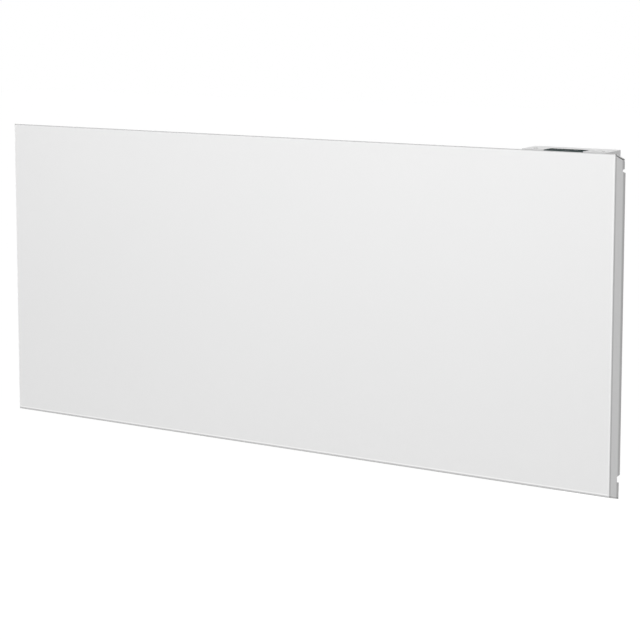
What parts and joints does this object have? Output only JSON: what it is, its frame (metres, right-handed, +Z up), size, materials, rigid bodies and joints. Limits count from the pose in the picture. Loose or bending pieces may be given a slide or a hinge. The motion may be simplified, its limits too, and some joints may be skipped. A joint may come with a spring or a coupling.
{
  "type": "wall panel convector heater",
  "caption": "Slim wall-hung electric panel convector with a folded steel front, top-mounted control box and a wall bracket on which it tilts forward.",
  "frame": {"origin": "centre of the four wall-screw holes, on the wall plane", "axes": "+X along the panel to the right seen from the room, +Y back into the wall, +Z up"},
  "size_m": [0.882, 0.084, 0.3771],
  "materials": {
    "white_enamel": "fine satin powder coat",
    "casing_enamel": "satin powder coat",
    "galvanised_steel": "galvanised sheet",
    "spring_steel": "blued spring strip",
    "bright_steel": "bright zinc",
    "element_steel": "heat-tinted sheath",
    "aluminium": "mill finish",
    "ceramic": "glazed ceramic",
    "black_plastic": "fine matt",
    "white_plastic": "fine matt",
    "display_lens": "smoked, polished",
    "display_panel": "dark screen",
    "circuit_board": "solder resist",
    "board_parts": "moulded",
    "brass": "plain",
    "brown_wire": "matt",
    "blue_wire": "matt",
    "green_yellow_wire": "matt",
    "grey_wire": "matt",
    "silicone_wire": "matt silicone"
  },
  "bodies": {
    "bracket": {"upper_rail": "galvanised_steel", "lower_rail": "galvanised_steel", "left_upright": "galvanised_steel", "right_upright": "galvanised_steel", "left_pivot_pin": "bright_steel", "right_pivot_pin": "bright_steel", "left_latch": "spring_steel", "right_latch": "spring_steel", "bracket_rivets": "bright_steel"},
    "heater": {"board_screws": "bright_steel", "cable_gland": "black_plastic", "casing_rivets": "bright_steel", "casing_screws": "bright_steel", "catch_bars": "bright_steel", "control_board": "circuit_board", "control_bracket": "galvanised_steel", "control_cover": "white_plastic", "control_housing": "white_plastic", "cutout_clip": "galvanised_steel", "display_module": "display_panel", "display_window": "display_lens", "earth_lug": "brass", "earth_nut": "brass", "earth_stud": "brass", "earth_wire": "green_yellow_wire", "element_bushings": "ceramic", "element_fins": "aluminium", "element_terminals": "ceramic", "element_tube": "element_steel", "element_wires": "silicone_wire", "front_panel": "white_enamel", "gland_nut": "black_plastic", "heat_shield": "aluminium", "inlet_grille": "casing_enamel", "inner_screws": "bright_steel", "left_catch": "galvanised_steel", "left_element_bracket": "galvanised_steel", "left_hook": "galvanised_steel", "live_wire": "brown_wire", "neutral_wire": "blue_wire", "outlet_grille": "casing_enamel", "power_board": "circuit_board", "power_board_parts": "board_parts", "rear_casing": "casing_enamel", "right_catch": "galvanised_steel", "right_element_bracket": "galvanised_steel", "right_hook": "galvanised_steel", "rocker_housing": "black_plastic", "sensor_holder": "white_plastic", "sensor_wire": "grey_wire", "tactile_switches": "board_parts", "temperature_sensor": "board_parts", "terminal_block": "white_plastic", "terminal_screws": "bright_steel", "thermal_cutout": "black_plastic"},
    "standby_button": {"standby_button": "white_plastic"},
    "minus_button": {"minus_button": "white_plastic"},
    "plus_button": {"plus_button": "white_plastic"},
    "power_rocker": {"power_rocker": "black_plastic"}
  },
  "joints": [
    {"name": "heater_tilt", "type": "hinge", "parent": "bracket", "child": "heater", "pos_m": [0, -0.015, -0.16], "axis": [1, 0, 0], "range_deg": [0, 20], "deforming": ["left_latch", "right_latch"]},
    {"name": "standby_press", "type": "slide", "parent": "heater", "child": "standby_button", "axis": [0, 0, -1], "range_m": [0, 0.0008], "stiffness_N_per_m": 400},
    {"name": "minus_press", "type": "slide", "parent": "heater", "child": "minus_button", "axis": [0, 0, -1], "range_m": [0, 0.0008], "stiffness_N_per_m": 400},
    {"name": "plus_press", "type": "slide", "parent": "heater", "child": "plus_button", "axis": [0, 0, -1], "range_m": [0, 0.0008], "stiffness_N_per_m": 400},
    {"name": "power_switch", "type": "hinge", "parent": "heater", "child": "power_rocker", "pos_m": [0.408, -0.045, 0.092], "axis": [0, 1, 0], "range_deg": [-20, 0]}
  ]
}
